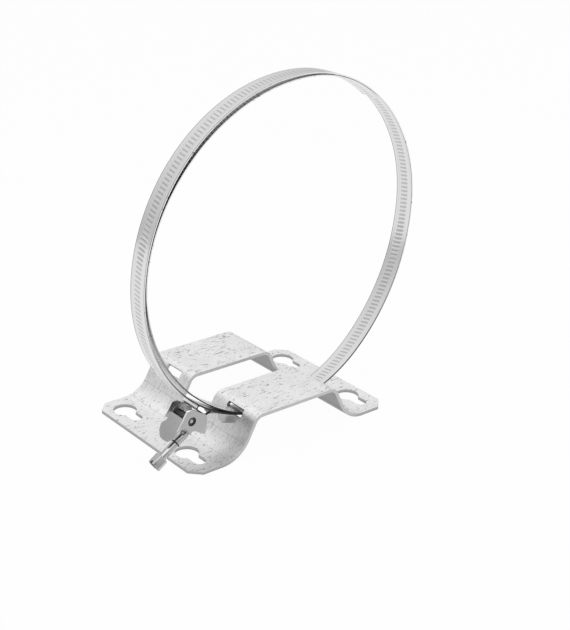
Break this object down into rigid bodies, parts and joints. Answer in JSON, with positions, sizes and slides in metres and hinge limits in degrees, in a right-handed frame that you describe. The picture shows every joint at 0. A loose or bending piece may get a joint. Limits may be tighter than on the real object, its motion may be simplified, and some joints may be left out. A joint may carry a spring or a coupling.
{
  "type": "expansion vessel strap",
  "caption": "Folded steel wall bracket with keyholes and a sprung, toothed steel band in a loop, closed by a hinged worm-drive buckle, for hanging a round vessel.",
  "frame": {"origin": "middle of the four keyholes' narrow ends, in the plane of the bracket's feet, which is the wall", "axes": "+X along the bracket's folded profile, across its bends; +Y along the bends, from the strip that carries the strap to the other; +Z out from the wall"},
  "size_m": [0.1848, 0.0951, 0.2033],
  "materials": {
    "galvanised_steel": "galvanised, satin",
    "stainless_band": "rolled stainless, bright",
    "stainless_sheet": "pressed stainless, satin",
    "zinc_plated_steel": "zinc plated, bright",
    "blackened_steel": "black"
  },
  "bodies": {
    "bracket_and_strap": {"wall_bracket": "galvanised_steel", "strap_band": "stainless_band", "strap_saddle": "stainless_sheet", "hinge_pin": "stainless_sheet"},
    "buckle": {"buckle_housing": "stainless_sheet"},
    "screw": {"clamp_screw": "zinc_plated_steel", "screw_washer": "blackened_steel"}
  },
  "joints": [
    {"name": "buckle_hinge", "type": "hinge", "parent": "bracket_and_strap", "child": "buckle", "pos_m": [-0.06435, -0.0227, 0.0272], "axis": [0, 1, 0], "range_deg": [0, 60]},
    {"name": "screw_turn", "type": "hinge", "parent": "buckle", "child": "screw", "pos_m": [-0.05856, -0.0227, 0.02052], "axis": [-0.829, 0, -0.5592], "continuous": true}
  ]
}
